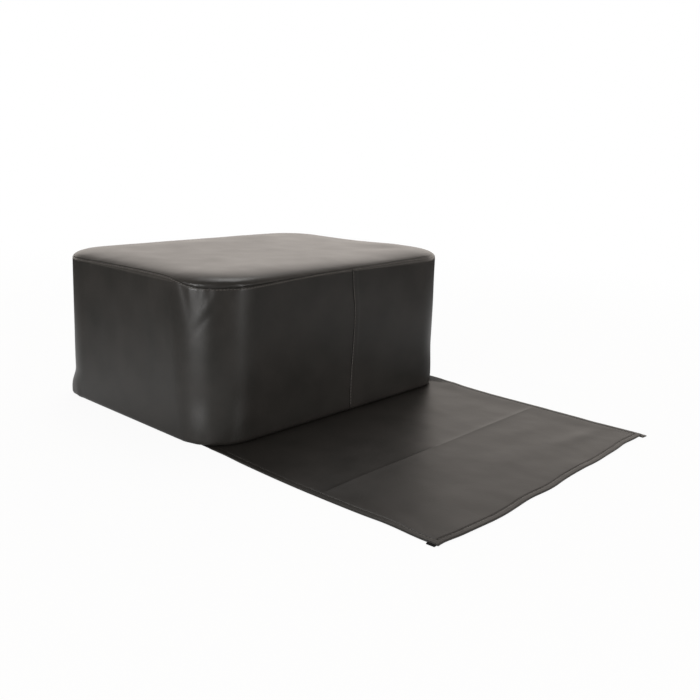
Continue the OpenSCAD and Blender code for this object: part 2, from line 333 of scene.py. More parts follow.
def spunbond():
    """Spun-bonded polypropylene, calendered: thin matt black web with rows of small pressed dots."""
    look = Finish("spunbond_polypropylene", Roughness=0.8)
    dots = look.pattern("TexVoronoi", 2.4, Randomness=0.0)
    fibres = look.pattern("TexNoise", 1.1, Detail=4.0, Distortion=1.5)
    look.colour(fibres, (0.35, "#131314"), (0.7, "#242426"))
    look.relief((dots, 0.5, 0.3), (fibres, 0.3, 0.2))
    return look.material


def galvanised_wire():
    """Galvanised steel staple wire: dull zinc grey with drawn lines and a few brighter rubs."""
    look = Finish("galvanised_steel_wire", Metallic=1.0)
    drawn = look.pattern("TexNoise", 0.8, Detail=3.0)
    look.colour(drawn, (0.3, "#8F9296"), (0.7, "#B7BABD"))
    look.roughness(drawn, 0.28, 0.48)
    return look.material


LEATHER = leathercloth("pu_leathercloth", (0.28, 0.37), 0.1)
FLAP_LEATHER = leathercloth("pu_leathercloth_flap", (0.38, 0.45), 0.5)
BACKING = knitted_backing()
THREAD = sewing_thread("sewing_thread", "#4A4643", "#5E5A56")
HEM_THREAD = sewing_thread("hem_thread", "#2B2927", "#3A3835")
CORE_FOAM = foam("firm_polyurethane_foam", "#D8CDA8", "#B5A67C", 0.9)
SLAB_FOAM = foam("soft_polyurethane_foam", "#E4DDC4", "#C2B690", 1.3)
PLY = plywood()
CLOTH = spunbond()
WIRE = galvanised_wire()


# The cover's shape, shared by the leather and by all that lies against it

# Each corner's radius at the base, at the top of its flare and at the seam, and the flare's height.
# The order is front right, back right, back left and front left, where the leather is tightest.
CORNERS = ((52.0, 57.0, 59.0, 60.0), (50.0, 58.0, 60.0, 42.0), (43.0, 57.0, 60.0, FLARE_H),
           (50.5, 57.5, 60.0, 54.0))
ROUNDEST_Z, LEAST_R = 150.0, 6.0


def radius_at(z, corner):
    """Corner radius at height z: squarer at the board, rounder above the flare."""
    base, middle, high, flare = CORNERS[corner]
    return base + (middle - base) * way(z, CORE_Z, flare) + (high - middle) * way(z, flare, ROUNDEST_Z)


def draw_at(z):
    """How far the middle of a side is drawn in at height z."""
    t = np.clip((np.asarray(z, float) - CORE_Z) / (SEAM_Z - CORE_Z), 0, 1)
    return SIDE_DRAW * 4 * t * (1 - t)


def on_outline(side, share, inset, z):
    """Point of the outline on side 0 front, 1 right, 2 back or 3 left, at a share from -1 to 1 of
    the way between the middles of its two corners, at height z and moved in by inset."""
    half, deep = BODY_W / 2 - inset, BODY_D / 2 - inset
    if side % 2:
        half, deep = deep, half
    corner = side if share > 0 else (side - 1) % 4
    r = max(float(radius_at(z, corner)) - inset, LEAST_R)
    flat = half - r
    s = share * (flat + r * math.pi / 4)
    if abs(s) <= flat:
        u, v = s, -deep + float(draw_at(z)) * (1 - (s / flat) ** 2)
    else:
        a = (abs(s) - flat) / r
        u, v = math.copysign(flat + r * math.sin(a), s), -(deep - r) - r * math.cos(a)
    return [(u, v), (-v, u), (-u, -v), (v, -u)][side]


# Height of the seam round the box, at places that run from 0 at the front left corner through 2, 4
# and 6 at the others. It sits high on the sides and is drawn down at the front left corner.
SEAM_PLACES = (0, 0.2, 0.36, 0.5, 0.7, 1.0, 1.2, 1.45, 1.75, 2.0, 3.0, 4.0, 5.0, 6.0, 6.4, 6.8, 7.2,
               7.5, 7.62, 7.72, 7.78, 7.84, 7.92, 8.0)
SEAM_HEIGHTS = (161.1, 162.0, 163.2, 164.6, 165.8, 166.5, 167.0, 167.7, 168.0, 167.5, 167.0, 166.0,
                166.8, 165.5, 166.2, 167.2, 167.8, 167.7, 167.2, 165.8, 163.6, 161.8, 161.2, 161.1)


def seam_height(place):
    return float(np.interp(place % 8, SEAM_PLACES, SEAM_HEIGHTS))


# The edge's section: up the side, over a tight roll, and on over the padding's soft swell
ROLL_FROM = SEAM_Z - 0.6
TIGHT_W, TIGHT_H = ROLL_W - 3, ROLL_H - 1.4
SWELL_H, SWELL_REACH = 5.7, 13.0


def swell(inset):
    """How far the padding rises above the edge at a distance in from the sides."""
    return SWELL_H * (1 - np.exp(-np.asarray(inset, float) / SWELL_REACH))


def section_table():
    """Distances up from the floor along the section, with the inset and height at each."""
    step = 0.5
    a = np.linspace(0, math.pi / 2, 400)
    further = np.arange(TIGHT_W + step, BODY_D, step)
    inset = np.concatenate([TIGHT_W * (1 - np.cos(a) ** (2 / ROLL_FULLNESS)), further])
    rise = np.concatenate([TIGHT_H * np.sin(a) ** (2 / ROLL_FULLNESS), np.full(len(further), TIGHT_H)])
    rise = rise + swell(inset)
    run = np.concatenate([[0], np.cumsum(np.hypot(np.diff(inset), np.diff(rise)))])
    return run + ROLL_FROM, inset, rise + ROLL_FROM


SECTION = section_table()


def on_section(run):
    """Inset and height on the edge's section at a distance up from the floor along it."""
    if run <= ROLL_FROM:
        return 0.0, run
    return tuple(float(np.interp(run, SECTION[0], column)) for column in SECTION[1:])


def seam_run(place):
    """Distance up along the section at which the seam runs."""
    z = seam_height(place)
    return z if z <= ROLL_FROM else float(np.interp(z, SECTION[2], SECTION[0]))


# The leather cover: a cube cut into fine squares, each side of it wrapped over one side of the box.
# Its lowest row is the raw edge under the board and its top edge is the seam round the top panel.

CUTS = 64
MID = CUTS // 2
BASE_ROWS = ([(i, RETURN_Z) for i in (RETURN_W, 24, 20, 16.5, 13.5, 11, 9, 7, BASE_ROLL_R)]
             + [(BASE_ROLL_R * (1 - math.sin(a)), RETURN_Z + BASE_ROLL_R * (1 - math.cos(a)))
                for a in (math.pi / 2 * k / 6 for k in range(1, 7))]
             + [(0, z) for z in (7.5, 9.5, 12, 15, 18, 21, 24.5, 28, 31, FLARE_H)])
SEAM_STEP, SEAM_GROWTH = 0.3, 1.3
COLUMN_STEP, COLUMN_GROWTH = 0.35, 1.35
SCALED_FROM = 48.0


def side_runs():
    """Distances below the seam of the sides' rows above the flare, closest together at the seam."""
    count = CUTS + 1 - len(BASE_ROWS)
    return graded(SEAM_Z - FLARE_H, count, SEAM_STEP, SEAM_GROWTH)[-2::-1]


def top_runs():
    """Distances above the seam of the top's rings, from the seam to the middle."""
    length = float(np.interp(BODY_D / 2, SECTION[1], SECTION[0])) - SEAM_Z
    return graded(length, MID, SEAM_STEP, SEAM_GROWTH)


def seam_columns():
    """Shares of the front and back columns, closest together at the upright seam."""
    half = FLAT_W + CORNER_R * math.pi / 4
    right = BAND_SEAM_X + graded(half - BAND_SEAM_X, MID, COLUMN_STEP, COLUMN_GROWTH)
    left = BAND_SEAM_X - graded(half + BAND_SEAM_X, MID, COLUMN_STEP, COLUMN_GROWTH)
    return np.concatenate([left[::-1], right[1:]]) / half


EDGE_LIFT = 0.45
# The padding's further rise along the right edge, at places from the front to the back
RIGHT_FULLER = ([-145, -85, -60, -30, 0, 30, 60, 110, 145],
                [1.5, 2.4, 2.4, 1.2, 0.1, -0.4, -0.6, -0.2, 0.3])
# How far from the seam the rows still follow its ups and downs
FOLLOW_REACH = 26.0


def cover_skin():
    """The whole cover's outer face. Each point keeps its distance above the seam round the top."""
    skin = added(bpy.ops.mesh.primitive_cube_add, size=2)
    in_edit(skin, bpy.ops.mesh.subdivide, number_cuts=CUTS - 1)
    cube = np.round((points(skin) * MM + 1) / 2 * CUTS).astype(int)
    below, above, columns = side_runs(), top_runs(), seam_columns()
    steps = range(CUTS + 1)
    co, gaps = np.zeros((len(cube), 3)), np.zeros(len(cube))
    for n, (i, j, k) in enumerate(cube):
        x, y = i - MID, j - MID
        ring = max(abs(x), abs(y))
        # Each side's distance out from the middle and the place along it
        sides = ((-y, x), (x, y), (y, -x), (-x, -y))
        side = next(s for s, (out, _) in enumerate(sides) if out == ring)
        share = sides[side][1] / ring if ring else 0.0
        step = (share + 1) * MID
        if side == 0:
            share = np.interp(step, steps, columns)
        elif side == 2:
            share = -np.interp(CUTS - step, steps, columns)
        if ring == MID and k < len(BASE_ROWS):
            inset, z = BASE_ROWS[k]
            gaps[n] = z - SEAM_Z
        else:
            gap = gaps[n] = -below[k - len(BASE_ROWS)] if ring == MID else above[MID - ring]
            shift = (seam_run(2 * side + share + 1) - SEAM_Z) * math.exp(-(gap / FOLLOW_REACH) ** 2)
            inset, z = on_section(SEAM_Z + gap + shift)
        # Further in, the top's rings keep one outline and are scaled
        scale = min(1.0, (BODY_D / 2 - inset) / (BODY_D / 2 - SCALED_FROM))
        u, v = on_outline(side, float(share), min(inset, SCALED_FROM), z)
        co[n] = u * scale, v * scale, z
    # The padding is fuller along the right edge, most towards the front
    lift = EDGE_LIFT + way(co[:, 0], 60, 175) * (np.interp(co[:, 1], *RIGHT_FULLER) - EDGE_LIFT)
    co[:, 2] += lift * (1 - way(inward(co), 25, 90)) * way(co[:, 2], ROLL_FROM + 1, ROLL_FROM + TIGHT_H)
    set_points(skin, co)
    skin.data.attributes.new("seam_gap", "FLOAT", "POINT").data.foreach_set("value", gaps)
    inside = (cube[:, 2] == 0) & (np.abs(cube[:, :2] - MID).max(1) < MID)
    in_edit(skin, bpy.ops.mesh.delete, "VERT", inside, type="VERT")
    return skin


FRONT_SEAM = ([0, 30, 70, 100, 125, 145, 164], [6.5, 7.0, 9.5, 11.0, 10.0, 6.0, 3.5])
BACK_SEAM = ([0, 50, 110, 164], [8.5, 7.0, 9.0, 8.0])


def seam_x(z, front):
    """Place of the upright seam at height z. It was sewn by hand and eye, so it wanders."""
    return np.interp(z, *(FRONT_SEAM if front else BACK_SEAM))


def wander_seams(co):
    """Moves the columns near each upright seam along with it."""
    for front in (True, False):
        here = (co[:, 1] < -100) if front else (co[:, 1] > 100)
        pull = 1 - way(np.abs(co[:, 0] - BAND_SEAM_X), 8, 60)
        shift = (seam_x(co[:, 2], front) - BAND_SEAM_X) * pull * (1 - 0.8 * way(inward(co), 1, 40))
        co[here, 0] += shift[here]
    return co


def inward(co):
    """Distance in from the box's straight sides."""
    return np.minimum(BODY_W / 2 - np.abs(co[:, 0]), BODY_D / 2 - np.abs(co[:, 1]))


def corner_share(co):
    """How far round a corner a point is: 1 at the corner's middle and 0 on the flat sides."""
    dx, dy = np.abs(co[:, 0]) - FLAT_W, np.abs(co[:, 1]) - FLAT_D
    a = np.arctan2(np.maximum(dy, 0), np.maximum(dx, 1e-6))
    return np.where((dx > 0) & (dy > 0), np.sin(2 * a), 0.0)


SEAM_DEEP, SEAM_HALF = 0.7, 0.6
STITCH_DROP = 1.5
# Each fold's place round the corner in degrees, its drift per millimetre down, depth and length
CORNER_FOLDS = ((63.0, 0.75, 0.7, 24.0), (12.0, -0.3, 0.6, 18.0))


def leather_life(co, gap):
    """How far the leather stands out of its plain shape, along its normal, in millimetres."""
    x, y, z = co.T
    corner = corner_share(co)
    front_left = corner * (x < 0) * (y < 0)
    side = z > FLARE_H
    # Puckers that the sewing draws across the seam, strongest where the band turns the front left corner
    near = np.where(gap < 0, np.exp(gap / 12), np.exp(-gap / 7)) * side
    draws = rough(co, 7.5, (1, 1, 9), 3.1) + 0.6 * rough(co, 3.6, (1, 1, 7), 8.4)
    out = (0.16 + 0.22 * corner + 0.5 * front_left) * near * draws
    # The left corners are pulled in at the seam, so the leather leans back below it
    pulled = 1.3 * front_left + 1.1 * corner * (x < 0) * (y > 0)
    out -= pulled * np.where(gap < 0, np.exp(gap / 26), np.exp(-gap / 9)) * side
    # Two folds run down and inwards from knots in the seam at the front left corner
    turn = np.degrees(np.arctan2(-y - FLAT_D, -x - FLAT_W))
    here = (x < 0) * (y < 0) * side * (gap < 0)
    for knot, drift, depth, reach in CORNER_FOLDS:
        line = turn - knot - drift * gap
        fold = -depth * bump(line, 0, 4.0) + 0.5 * depth * bump(line, -8 * np.sign(drift), 5.0)
        out += fold * np.exp(gap / reach) * way(-gap, 0, 2) * here
    # The seam round the top: a tight valley, and a shallow one along the stitching below it
    out -= SEAM_DEEP * bump(gap, 0, SEAM_HALF) + 0.25 * bump(gap, -STITCH_DROP, 0.6)
    # The front right corner is full at mid height
    out += 0.6 * corner * (x > 0) * (y < 0) * bump(z, 105, 45)
    # Slow hollows of hand-fitted leather over foam
    hollows = 0.35 * rough(co, 70, (1, 1, 1.6), 1.7) + 0.15 * rough(co, 22, (1, 1, 1.5), 5.2)
    out += hollows * way(z, CORE_Z, 60)
    # Short pleats where the leather is gathered round the base's corners
    turn = np.arctan2(np.abs(y) - (BODY_D / 2 - BASE_CORNER_R), np.abs(x) - (BODY_W / 2 - BASE_CORNER_R))
    out += (0.15 + 0.35 * (x < 0) * (y > 0)) * corner * (1 - way(z, 2, 22)) * np.sin(18 * turn)
    # Upright seams: a tight valley, and to its right the allowance that is folded behind
    for front in (True, False):
        on = ((y < -100) if front else (y > 100)) & (gap < 0)
        d = x - seam_x(z, front)
        seam = -0.95 * bump(d, 0, 0.6) + 0.24 * way(d, 0.5, 2) * (1 - way(d, 7, 9)) \
            - 0.2 * bump(d, STITCH_DROP, 0.6)
        out += np.where(on, seam, 0) * way(z, 1.0, 6)
    return out


def split_off(skin, keep):
    """Copies the skin with only some of its faces."""
    piece = skin.copy()
    piece.data = skin.data.copy()
    bpy.context.collection.objects.link(piece)
    in_edit(piece, bpy.ops.mesh.delete, "FACE", ~keep, type="FACE")
    return piece


def make_cover():
    """The top panel and the band's two halves, cut from one skin and given their thickness."""
    skin = cover_skin()
    set_points(skin, wander_seams(points(skin)))
    finish_modifier(skin, "SUBSURF", levels=1, render_levels=1)
    co, gap = points(skin), read(skin.data.attributes["seam_gap"].data, "value", 1)[:, 0]
    set_points(skin, co + read(skin.data.vertices, "normal") * leather_life(co, gap)[:, None])
    x, y, z = (np.array([f.center for f in skin.data.polygons]) / MM).T
    top = np.array([gap[list(f.vertices)].mean() > 0 for f in skin.data.polygons])
    left = x < np.where(y < 0, seam_x(z, True), seam_x(z, False))
    pieces = []
    for name, node, faces in (("top_panel", "cover_top", top),
                              ("band_left", "cover_band_left", ~top & left),
                              ("band_right", "cover_band_right", ~top & ~left)):
        piece = split_off(skin, faces)
        finish_modifier(piece, "SOLIDIFY", thickness=COVER_T * MM, offset=-1.0)
        named(piece, name, "cushion", "leather", LEATHER)
        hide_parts(node)
        pieces.append(piece)
    bpy.data.objects.remove(skin)
    return pieces


TOP_PANEL, BAND_LEFT, BAND_RIGHT = make_cover()


# Foam inside the cover

FOAM_GAP = SIDE_DRAW + LEATHER_T + 0.6
FOAM_R = CORNER_R - 2
SWELL_RINGS = (5.0, 6.0, 8.0, 12.0, 20.0)


def round_edges(block, choose, width, segments, fresh):
    """Rounds the edges that a test of their lower and upper end's heights chooses."""
    ends = [sorted(block.data.vertices[v].co.z for v in e.vertices) for e in block.data.edges]
    in_edit(block, bpy.ops.mesh.bevel, "EDGE", [choose(*pair) for pair in ends], fresh,
            offset=width * MM, segments=segments, affect="EDGES")


def foam_piece(name, node, low, high, top_round, material):
    """A block of foam: a cube at its size, its upright edges rounded, and its top edge if asked."""
    block = box((0, 0, (low + high) / 2), (BODY_W - 2 * FOAM_GAP, BODY_D - 2 * FOAM_GAP, high - low))
    round_edges(block, lambda lower, upper: upper - lower > 1e-6, FOAM_R, 14, True)
    if top_round:
        # The corners' new faces are still selected, so they are rounded again with the top edge
        round_edges(block, lambda lower, upper: lower > (high - 0.01) * MM, top_round, 8, False)
        # The slab swells under the top panel: rings cut into its top face, each raised a little more
        rise = [float(swell(d)) for d in np.cumsum((top_round, *SWELL_RINGS))]

        def raise_rings():
            for width, lower, upper in zip(SWELL_RINGS, rise, rise[1:]):
                bpy.ops.mesh.inset(thickness=width * MM, depth=(upper - lower) * MM)

        faces = block.data.polygons
        top = max(faces, key=lambda f: f.area * (f.normal.z > 0.9)).index
        in_edit(block, raise_rings, "FACE", [f.index == top for f in faces])
    named(block, name, "cushion", "foam", material, sharp=35)
    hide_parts(node)
    return block


FOAM_BLOCK = foam_piece("foam_block", "foam_core", CORE_Z + 0.1, TOPPER_Z - 0.1, 0, CORE_FOAM)
FOAM_SLAB = foam_piece("foam_slab", "foam_topper", TOPPER_Z, SEAM_Z + ROLL_H - LEATHER_T - 0.6, 12,
                       SLAB_FOAM)


# The flap: one leather sheet, here in two meshes that meet where neither joint bends it

def graded_lines(start, stop, step, dense):
    """Places from start to stop about one step apart, closer round each dense (place, reach, step)."""
    out, at = [start], start
    sign = 1 if stop > start else -1
    while (stop - at) * sign > 1e-9:
        s = step
        for place, reach, fine in dense:
            d = max(0.0, abs(at + sign * fine / 2 - place) - reach)
            s = min(s, fine + d * 0.35)
        at = at + sign * s
        out.append(at)
    out = np.array(out)
    return start + (out - start) * (stop - start) / (out[-1] - start)


# Where the hems need closer lines: a distance in from the edge, a reach to its sides and a step
HEM_DENSE = ((1.0, 1.5, 0.7), (HEM_STITCH, 0.8, 0.45), (HEM_W + 0.8, 2.0, 0.7))
FLAP_COLUMN_STEP, FLAP_ROW_STEP = 3.4, 3.2
FLAP_SPLIT_Y = -168.0
FOLD_R = 1.0

# How the flap's edges wander and lift: bells with a height, a middle and a width
LEFT_WANDER = ((-3.0, -250, 85), (1.4, -362, 24), (0.8, -415, 14))
RIGHT_WANDER = ((2.6, -158, 20), (-0.9, -360, 16))
END_WANDER = ((3.6, -178, 17), (-2.9, -98, 38), (-2.7, -16, 26), (-1.2, 80, 24), (1.7, 150, 17),
              (-0.6, 40, 30))
END_LIFT = ((0.6, -150, 30), (0.3, -48, 22), (0.5, 50, 26), (0.3, 150, 20))
# Waves of the free half: a height, then a middle and a width across and along, and a slant
FREE_WAVES = ((0.7, 122, 40, -369.4, 10, 0.1), (-0.5, 128, 42, -388, 12, 0), (0.7, 20, 60, -352, 20, 0),
              (0.5, -110, 50, -366, 24, 0), (0.5, 95, 30, -318, 12, 0))


def flap_columns():
    """Places across the flap, closest together at the hems' edges and stitching."""
    dense = [(edge + sign * inset, reach, step) for edge, sign in ((FLAP_LEFT, 1), (FLAP_RIGHT, -1))
             for inset, reach, step in HEM_DENSE]
    return graded_lines(FLAP_LEFT + FOLD_R, FLAP_RIGHT - FOLD_R, FLAP_COLUMN_STEP, dense)


def flap_place(x, y):
    """Where a point of the straight-edged flap comes to lie: its edges bow and wander."""
    across = (x - FLAP_LEFT) / (FLAP_RIGHT - FLAP_LEFT)
    left = hills(y, LEFT_WANDER) - 1.2 * way(-y, 150, 185)
    right = hills(y, RIGHT_WANDER) - 1.6 * way(-y, 185, 225)
    end = hills(x, END_WANDER) - 1.3 + way(x, 150, 190)
    return x + left * (1 - across) + right * across, y + end * way(-y, 345, 413)


def flap_height(x, y):
    """Height of the flap's upper face over the floor."""
    from_side = np.minimum(x - FLAP_LEFT, FLAP_RIGHT - x)
    from_end = y - FLAP_END_Y
    beyond = 1 - way(y, -142, -129)
    hem = np.maximum((1 - way(from_side, 7, 36)) * beyond, 1 - way(from_end, 8, 75))
    z = 1.0 + 0.7 * hem
    # Valley that the stitching pulls into the hems
    side_line = bump(from_side, HEM_STITCH, 0.8) * (from_end > HEM_STITCH) * beyond
    end_line = bump(from_end, HEM_STITCH, 0.8) * (from_side > HEM_STITCH)
    z -= np.maximum(0.3 * side_line, 0.45 * end_line)
    # The crease stays as a low ridge, tighter on the left and broken up on the right
    co = np.stack([x, y, 0 * x], -1)
    d = y - CREASE_Y + 0.8 * rough(co, 60, (1, 40, 1), 6.5)
    right = way(x, -90, 60)
    reach = np.where(d > 0, 2.2 + 1.8 * right, 7.0 - 2.5 * right)
    ridge = (0.65 + 0.2 * rough(co, 38, (1, 40, 1), 3.3)) * np.exp(-np.sqrt(d * d + 0.8) / reach)
    z += ridge * (1 - 0.8 * (1 - way(from_side, 6, 24)))
    # On both sides of it the sheet slopes down: quickly towards the box and slowly towards the end
    slope = np.where(d > 0, 1 - way(d, 0, 50), 1 - way(-d, 0, 75))
    z += slope * (1.4 - 1.0 * right) * way(from_side, 6, 50)
    # The free half lies in slow waves and its end lifts
    free = way(CREASE_Y - y, 8, 45)
    for height, middle_x, width_x, middle_y, width_y, slant in FREE_WAVES:
        along = bump(y + slant * (x - middle_x), middle_y, width_y)
        z += free * height * bump(x, middle_x, width_x) * along
    z += way(-from_end, -30, -2) * hills(x, END_LIFT)
    # At the right its edge curls up past the corner of the box
    z += 3.6 * way(x, 178, 190) * bump(y, -126, 20) + 0.8 * bump(x, 184, 20) * bump(y, -160, 13)
    # Small unevenness of a sheet that has been folded and carried about
    uneven = 0.24 + 0.2 * rough(co, 30, (1, 1, 1), 2.3) + 0.1 * rough(co, 14, (1, 1, 1), 7.7)
    return z + uneven * way(-y, 150, 175)


FOLD_STEPS = 6
HEM_CLEARANCE = 0.02


def flap_mesh(rows, hemmed_from, end_hem):
    """Part of the flap: a grid laid over the flap's shape, a copy of its border turned under as the
    hem, and the fold that joins the two."""
    columns = flap_columns()
    sheet = added(bpy.ops.mesh.primitive_grid_add, x_subdivisions=len(columns) - 1,
                  y_subdivisions=len(rows) - 1, size=2)
    unit = (points(sheet) * MM + 1) / 2
    x, y = (np.sort(lines)[np.round(unit[:, axis] * (len(lines) - 1)).astype(int)]
            for axis, lines in enumerate((columns, rows)))
    set_points(sheet, np.stack([x, y, flap_height(x, y)], -1))
    bm = bmesh.new()
    bm.from_mesh(sheet.data)
    tiny = 1e-7

    def in_hem(face):
        c = face.calc_center_median() / MM
        side = min(c.x - FLAP_LEFT, FLAP_RIGHT - c.x) < HEM_W and c.y < hemmed_from
        return side or (end_hem and c.y - FLAP_END_Y < HEM_W)

    def outward(v):
        """Level direction out of the flap at its side and end edges, and none elsewhere."""
        left = abs(v.co.x - (FLAP_LEFT + FOLD_R) * MM) < tiny
        right = abs(v.co.x - (FLAP_RIGHT - FOLD_R) * MM) < tiny
        end = end_hem and abs(v.co.y - (FLAP_END_Y + FOLD_R) * MM) < tiny
        return Vector((right - left, -int(end), 0)).normalized()

    band = [f for f in bm.faces if in_hem(f)]
    in_band = {v for f in band for v in f.verts}
    copied = bmesh.ops.duplicate(bm, geom=band)
    bmesh.ops.reverse_faces(bm, faces=[g for g in copied["geom"] if isinstance(g, bmesh.types.BMFace)])
    lower_of = {v: copied["vert_map"][v] for v in in_band}
    for v in lower_of.values():
        v.co.z = max(v.co.z - 2 * LEATHER_T * MM, HEM_CLEARANCE * MM)
    # The fold: rows of points round a half circle between the border and its copy
    arcs = {}
    for v in [v for v in bm.verts if v in in_band and outward(v).length]:
        n, lower = outward(v) * FOLD_R * MM, lower_of[v]
        middle, half = (v.co + lower.co) / 2, (v.co.z - lower.co.z) / 2
        ring = [v]
        for a in (math.pi * k / FOLD_STEPS for k in range(1, FOLD_STEPS)):
            ring.append(bm.verts.new(middle + n * math.sin(a) + Vector((0, 0, half * math.cos(a)))))
        arcs[v] = ring + [lower]
    for e in [e for e in bm.edges if e.is_boundary and all(v in arcs for v in e.verts)]:
        a, b = (arcs[v] for v in e.verts)
        if outward(a[0]).dot(outward(b[0])) > 0.1:
            for k in range(FOLD_STEPS):
                bm.faces.new((a[k], b[k], b[k + 1], a[k + 1]))
    bmesh.ops.recalc_face_normals(bm, faces=bm.faces)
    bm.normal_update()
    highest = max(bm.faces, key=lambda f: f.calc_center_median().z if abs(f.normal.z) > 0.9 else -1)
    if highest.normal.z < 0:
        bmesh.ops.reverse_faces(bm, faces=bm.faces)
    for v in bm.verts:
        x, y = flap_place(v.co.x / MM, v.co.y / MM)
        v.co.x, v.co.y = x * MM, y * MM
    bm.to_mesh(sheet.data)
    bm.free()
    return sheet


def add_flap_materials(obj):
    for material in (FLAP_LEATHER, BACKING):
        obj.data.materials.append(material)


def finish_sheet(obj):
    """Gives the flap its thickness. Its inner face and its cut edge are the leathercloth's backing."""
    add_flap_materials(obj)
    finish_modifier(obj, "SOLIDIFY", thickness=FLAP_T * MM, offset=-1.0, material_offset=1,
                    material_offset_rim=1)


TAB_T, TAB_Z = 1.2, 0.62
LEATHER_FACE, BACKING_FACE = 0, 1


def hem_tab(x, y, width, depth, turn, face):
    """A hem's end that sticks out past the edge below it: a small thick slip of leather."""
    tab = box((x, y, TAB_Z), (width, depth, TAB_T), turn)
    in_edit(tab, bpy.ops.mesh.subdivide, number_cuts=3)
    finish_modifier(tab, "BEVEL", width=0.3 * MM, segments=2, limit_method="ANGLE")
    add_flap_materials(tab)
    tab.data.polygons.foreach_set("material_index", [face] * len(tab.data.polygons))
    return tab


STRIP_HEMMED_FROM = -130.0


def make_flap():
    """The flap's sheet with its crease and hem ends, and the strip that lies across the hinge."""
    hem_rows = [(FLAP_END_Y + inset, reach, step) for inset, reach, step in HEM_DENSE]
    main = flap_mesh(graded_lines(FLAP_SPLIT_Y, FLAP_END_Y + FOLD_R, FLAP_ROW_STEP,
                                  hem_rows + [(CREASE_Y, 2.6, 0.35)]), FLAP_SPLIT_Y, True)
    finish_sheet(main)
    near = hem_tab(FLAP_LEFT - TAB_OUT / 2 + 1.2, FLAP_END_Y + TAB_OUT + TAB_W / 2 + 0.5,
                   TAB_OUT + 2, TAB_W, 4, BACKING_FACE)
    far = hem_tab(FLAP_RIGHT - TAB_W / 2 - 0.5, FLAP_END_Y - TAB_OUT / 2 - 0.3,
                  TAB_W, TAB_OUT + 2, -6, LEATHER_FACE)
    only(main)
    near.select_set(True)
    far.select_set(True)
    bpy.ops.object.join()
    root = flap_mesh(graded_lines(FLAP_ROOT_Y, FLAP_SPLIT_Y, FLAP_ROW_STEP, [(HINGE_Y, 3.0, 0.4)]),
                     STRIP_HEMMED_FROM, False)
    finish_sheet(root)
    for piece, name in ((main, "flap_sheet"), (root, "flap_hinge_strip")):
        named(piece, name, None, "leather", sharp=60)
    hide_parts("flap_inner", "flap_outer")
    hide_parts("flap_root")
    return main, root


FLAP, FLAP_STRIP = make_flap()


def bend_at_crease(piece):
    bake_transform(piece)


# Stitching

STITCH_PITCH, STITCH_L, STITCH_T = 3.6, 3.0, 0.56
STITCH_DIP = 0.24 * STITCH_T


def stitch_run(path, name, body, material):
    """Single stitches along a list of (point, direction, outward) in millimetres, one mesh."""
    seed = added(bpy.ops.mesh.primitive_uv_sphere_add, segments=8, ring_count=6, radius=1.0)
    ball = points(seed) * MM
    faces = [tuple(f.vertices) for f in seed.data.polygons]
    bpy.data.objects.remove(seed)
    stitch = ball * (STITCH_L / 2, STITCH_T / 2, STITCH_T / 2)
    stitch[:, 2] -= STITCH_DIP * ball[:, 0] ** 2
    verts, all_faces = [], []
    for p, along, out in path:
        start = len(verts) * len(stitch)
        verts.append(stitch @ np.stack([along, np.cross(out, along), out]) + p)
        all_faces += [tuple(v + start for v in f) for f in faces]
    mesh = bpy.data.meshes.new(name)
    mesh.from_pydata((np.concatenate(verts) * MM).tolist(), [], all_faces)
    obj = bpy.data.objects.new(name, mesh)
    bpy.context.collection.objects.link(obj)
    named(obj, name, body, "thread", material)
    return obj


def walk(line, start=0.0):
    """Points one stitch apart along a polyline, with the direction at each."""
    line = np.asarray(line, float)
    run = np.concatenate([[0], np.cumsum(np.linalg.norm(np.diff(line, axis=0), axis=1))])
    places = np.arange(start, run[-1], STITCH_PITCH)

    def at(places):
        return np.stack([np.interp(places, run, line[:, k]) for k in range(3)], -1)

    along = at(np.minimum(places + 0.5, run[-1])) - at(np.maximum(places - 0.5, 0))
    return at(places), along / np.linalg.norm(along, axis=1)[:, None]


RAY_BACK, RAY_LENGTH = 12, 30
TOP_LIFT, SEAM_LIFT, HEM_LIFT = 0.07, 0.12, 0.1


def lay_on(surfaces, at, along, inward, lift):
    """Moves each point onto the nearest of some surfaces, seen along inward, and lifts it off."""
    trees = [BVHTree.FromObject(s, bpy.context.evaluated_depsgraph_get()) for s in surfaces]
    laid = []
    for p, a, n in zip(at, along, inward):
        hits = [t.ray_cast(Vector((p - n * RAY_BACK) * MM), Vector(n), RAY_LENGTH * MM) for t in trees]
        hits = [hit for hit in hits if hit[0] is not None]
        if not hits:
            continue
        where, normal, _, _ = min(hits, key=lambda hit: hit[3])
        normal = np.array(normal)
        if normal @ n > 0:
            normal = -normal
        a = a - normal * (a @ normal)
        a /= np.linalg.norm(a)
        laid.append((np.array(where) / MM + normal * lift, a, normal))
    return laid


def seam_line(drop):
    """Closed line round the box, a little below the seam round the top."""
    line = []
    for side in range(4):
        for share in np.linspace(-1, 1, 91)[:-1]:
            inset, z = on_section(seam_run(2 * side + share + 1) - drop)
            line.append((*on_outline(side, float(share), inset, z), z))
    return np.array(line + line[:1])


def inward_of(at):
    """Level direction into the box from each point of its outline."""
    middle = np.clip(at, (-FLAT_W, -FLAT_D, 0), (FLAT_W, FLAT_D, 0))
    out = (at - middle) * (1, 1, 0)
    return -out / np.linalg.norm(out, axis=1)[:, None]


